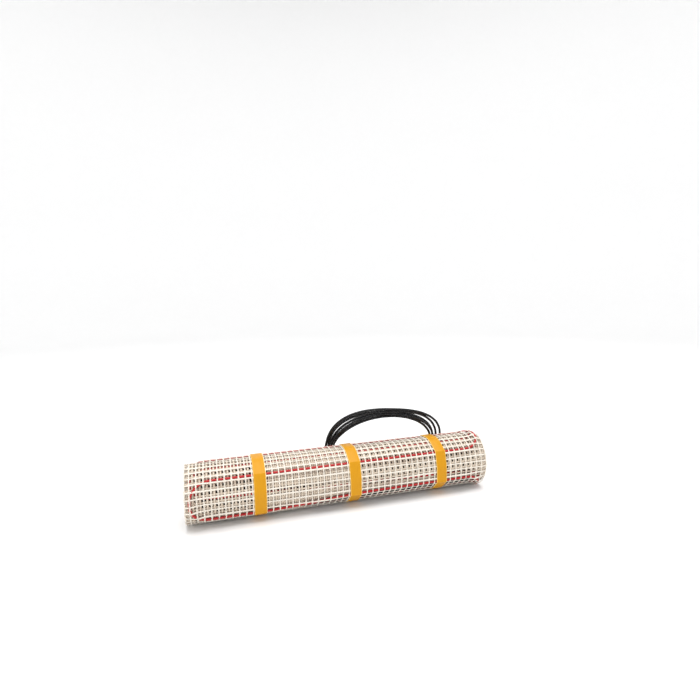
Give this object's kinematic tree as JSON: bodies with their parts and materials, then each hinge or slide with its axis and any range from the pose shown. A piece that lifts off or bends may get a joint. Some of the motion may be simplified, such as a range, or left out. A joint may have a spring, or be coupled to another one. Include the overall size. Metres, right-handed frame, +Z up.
{
  "type": "underfloor heating mat",
  "caption": "Rolled underfloor heating mat: open glass-fibre web with a heating cable laid to and fro, flat straps, splice sleeve and a coiled supply lead",
  "frame": {"origin": "on the floor, under the middle of the roll with its straps", "axes": "+X along the roll, from the end that the picture shows at the left to the end at the right; -Y is the front; +Z is up"},
  "size_m": [0.5, 0.1226, 0.1515],
  "materials": {
    "glass_fibre_web": "open woven web, matte",
    "red_cable_sheath": "satin",
    "yellow_strap": "smooth film strap",
    "black_shrink_sleeve": "satin",
    "black_lead_jacket": "semi-gloss",
    "brown_insulation": "semi-gloss",
    "blue_insulation": "semi-gloss",
    "copper_wire": "bright stranded wire"
  },
  "bodies": {
    "root": {"mesh_roll": "glass_fibre_web", "heating_cable": "red_cable_sheath", "strap_left": "yellow_strap", "strap_middle": "yellow_strap", "strap_right": "yellow_strap", "splice_sleeve": "black_shrink_sleeve", "supply_lead": "black_lead_jacket", "supply_lead_coil": "black_lead_jacket", "supply_lead_tail": "black_lead_jacket", "brown_core": "brown_insulation", "blue_core": "blue_insulation", "earth_core": "copper_wire"}
  },
  "joints": []
}
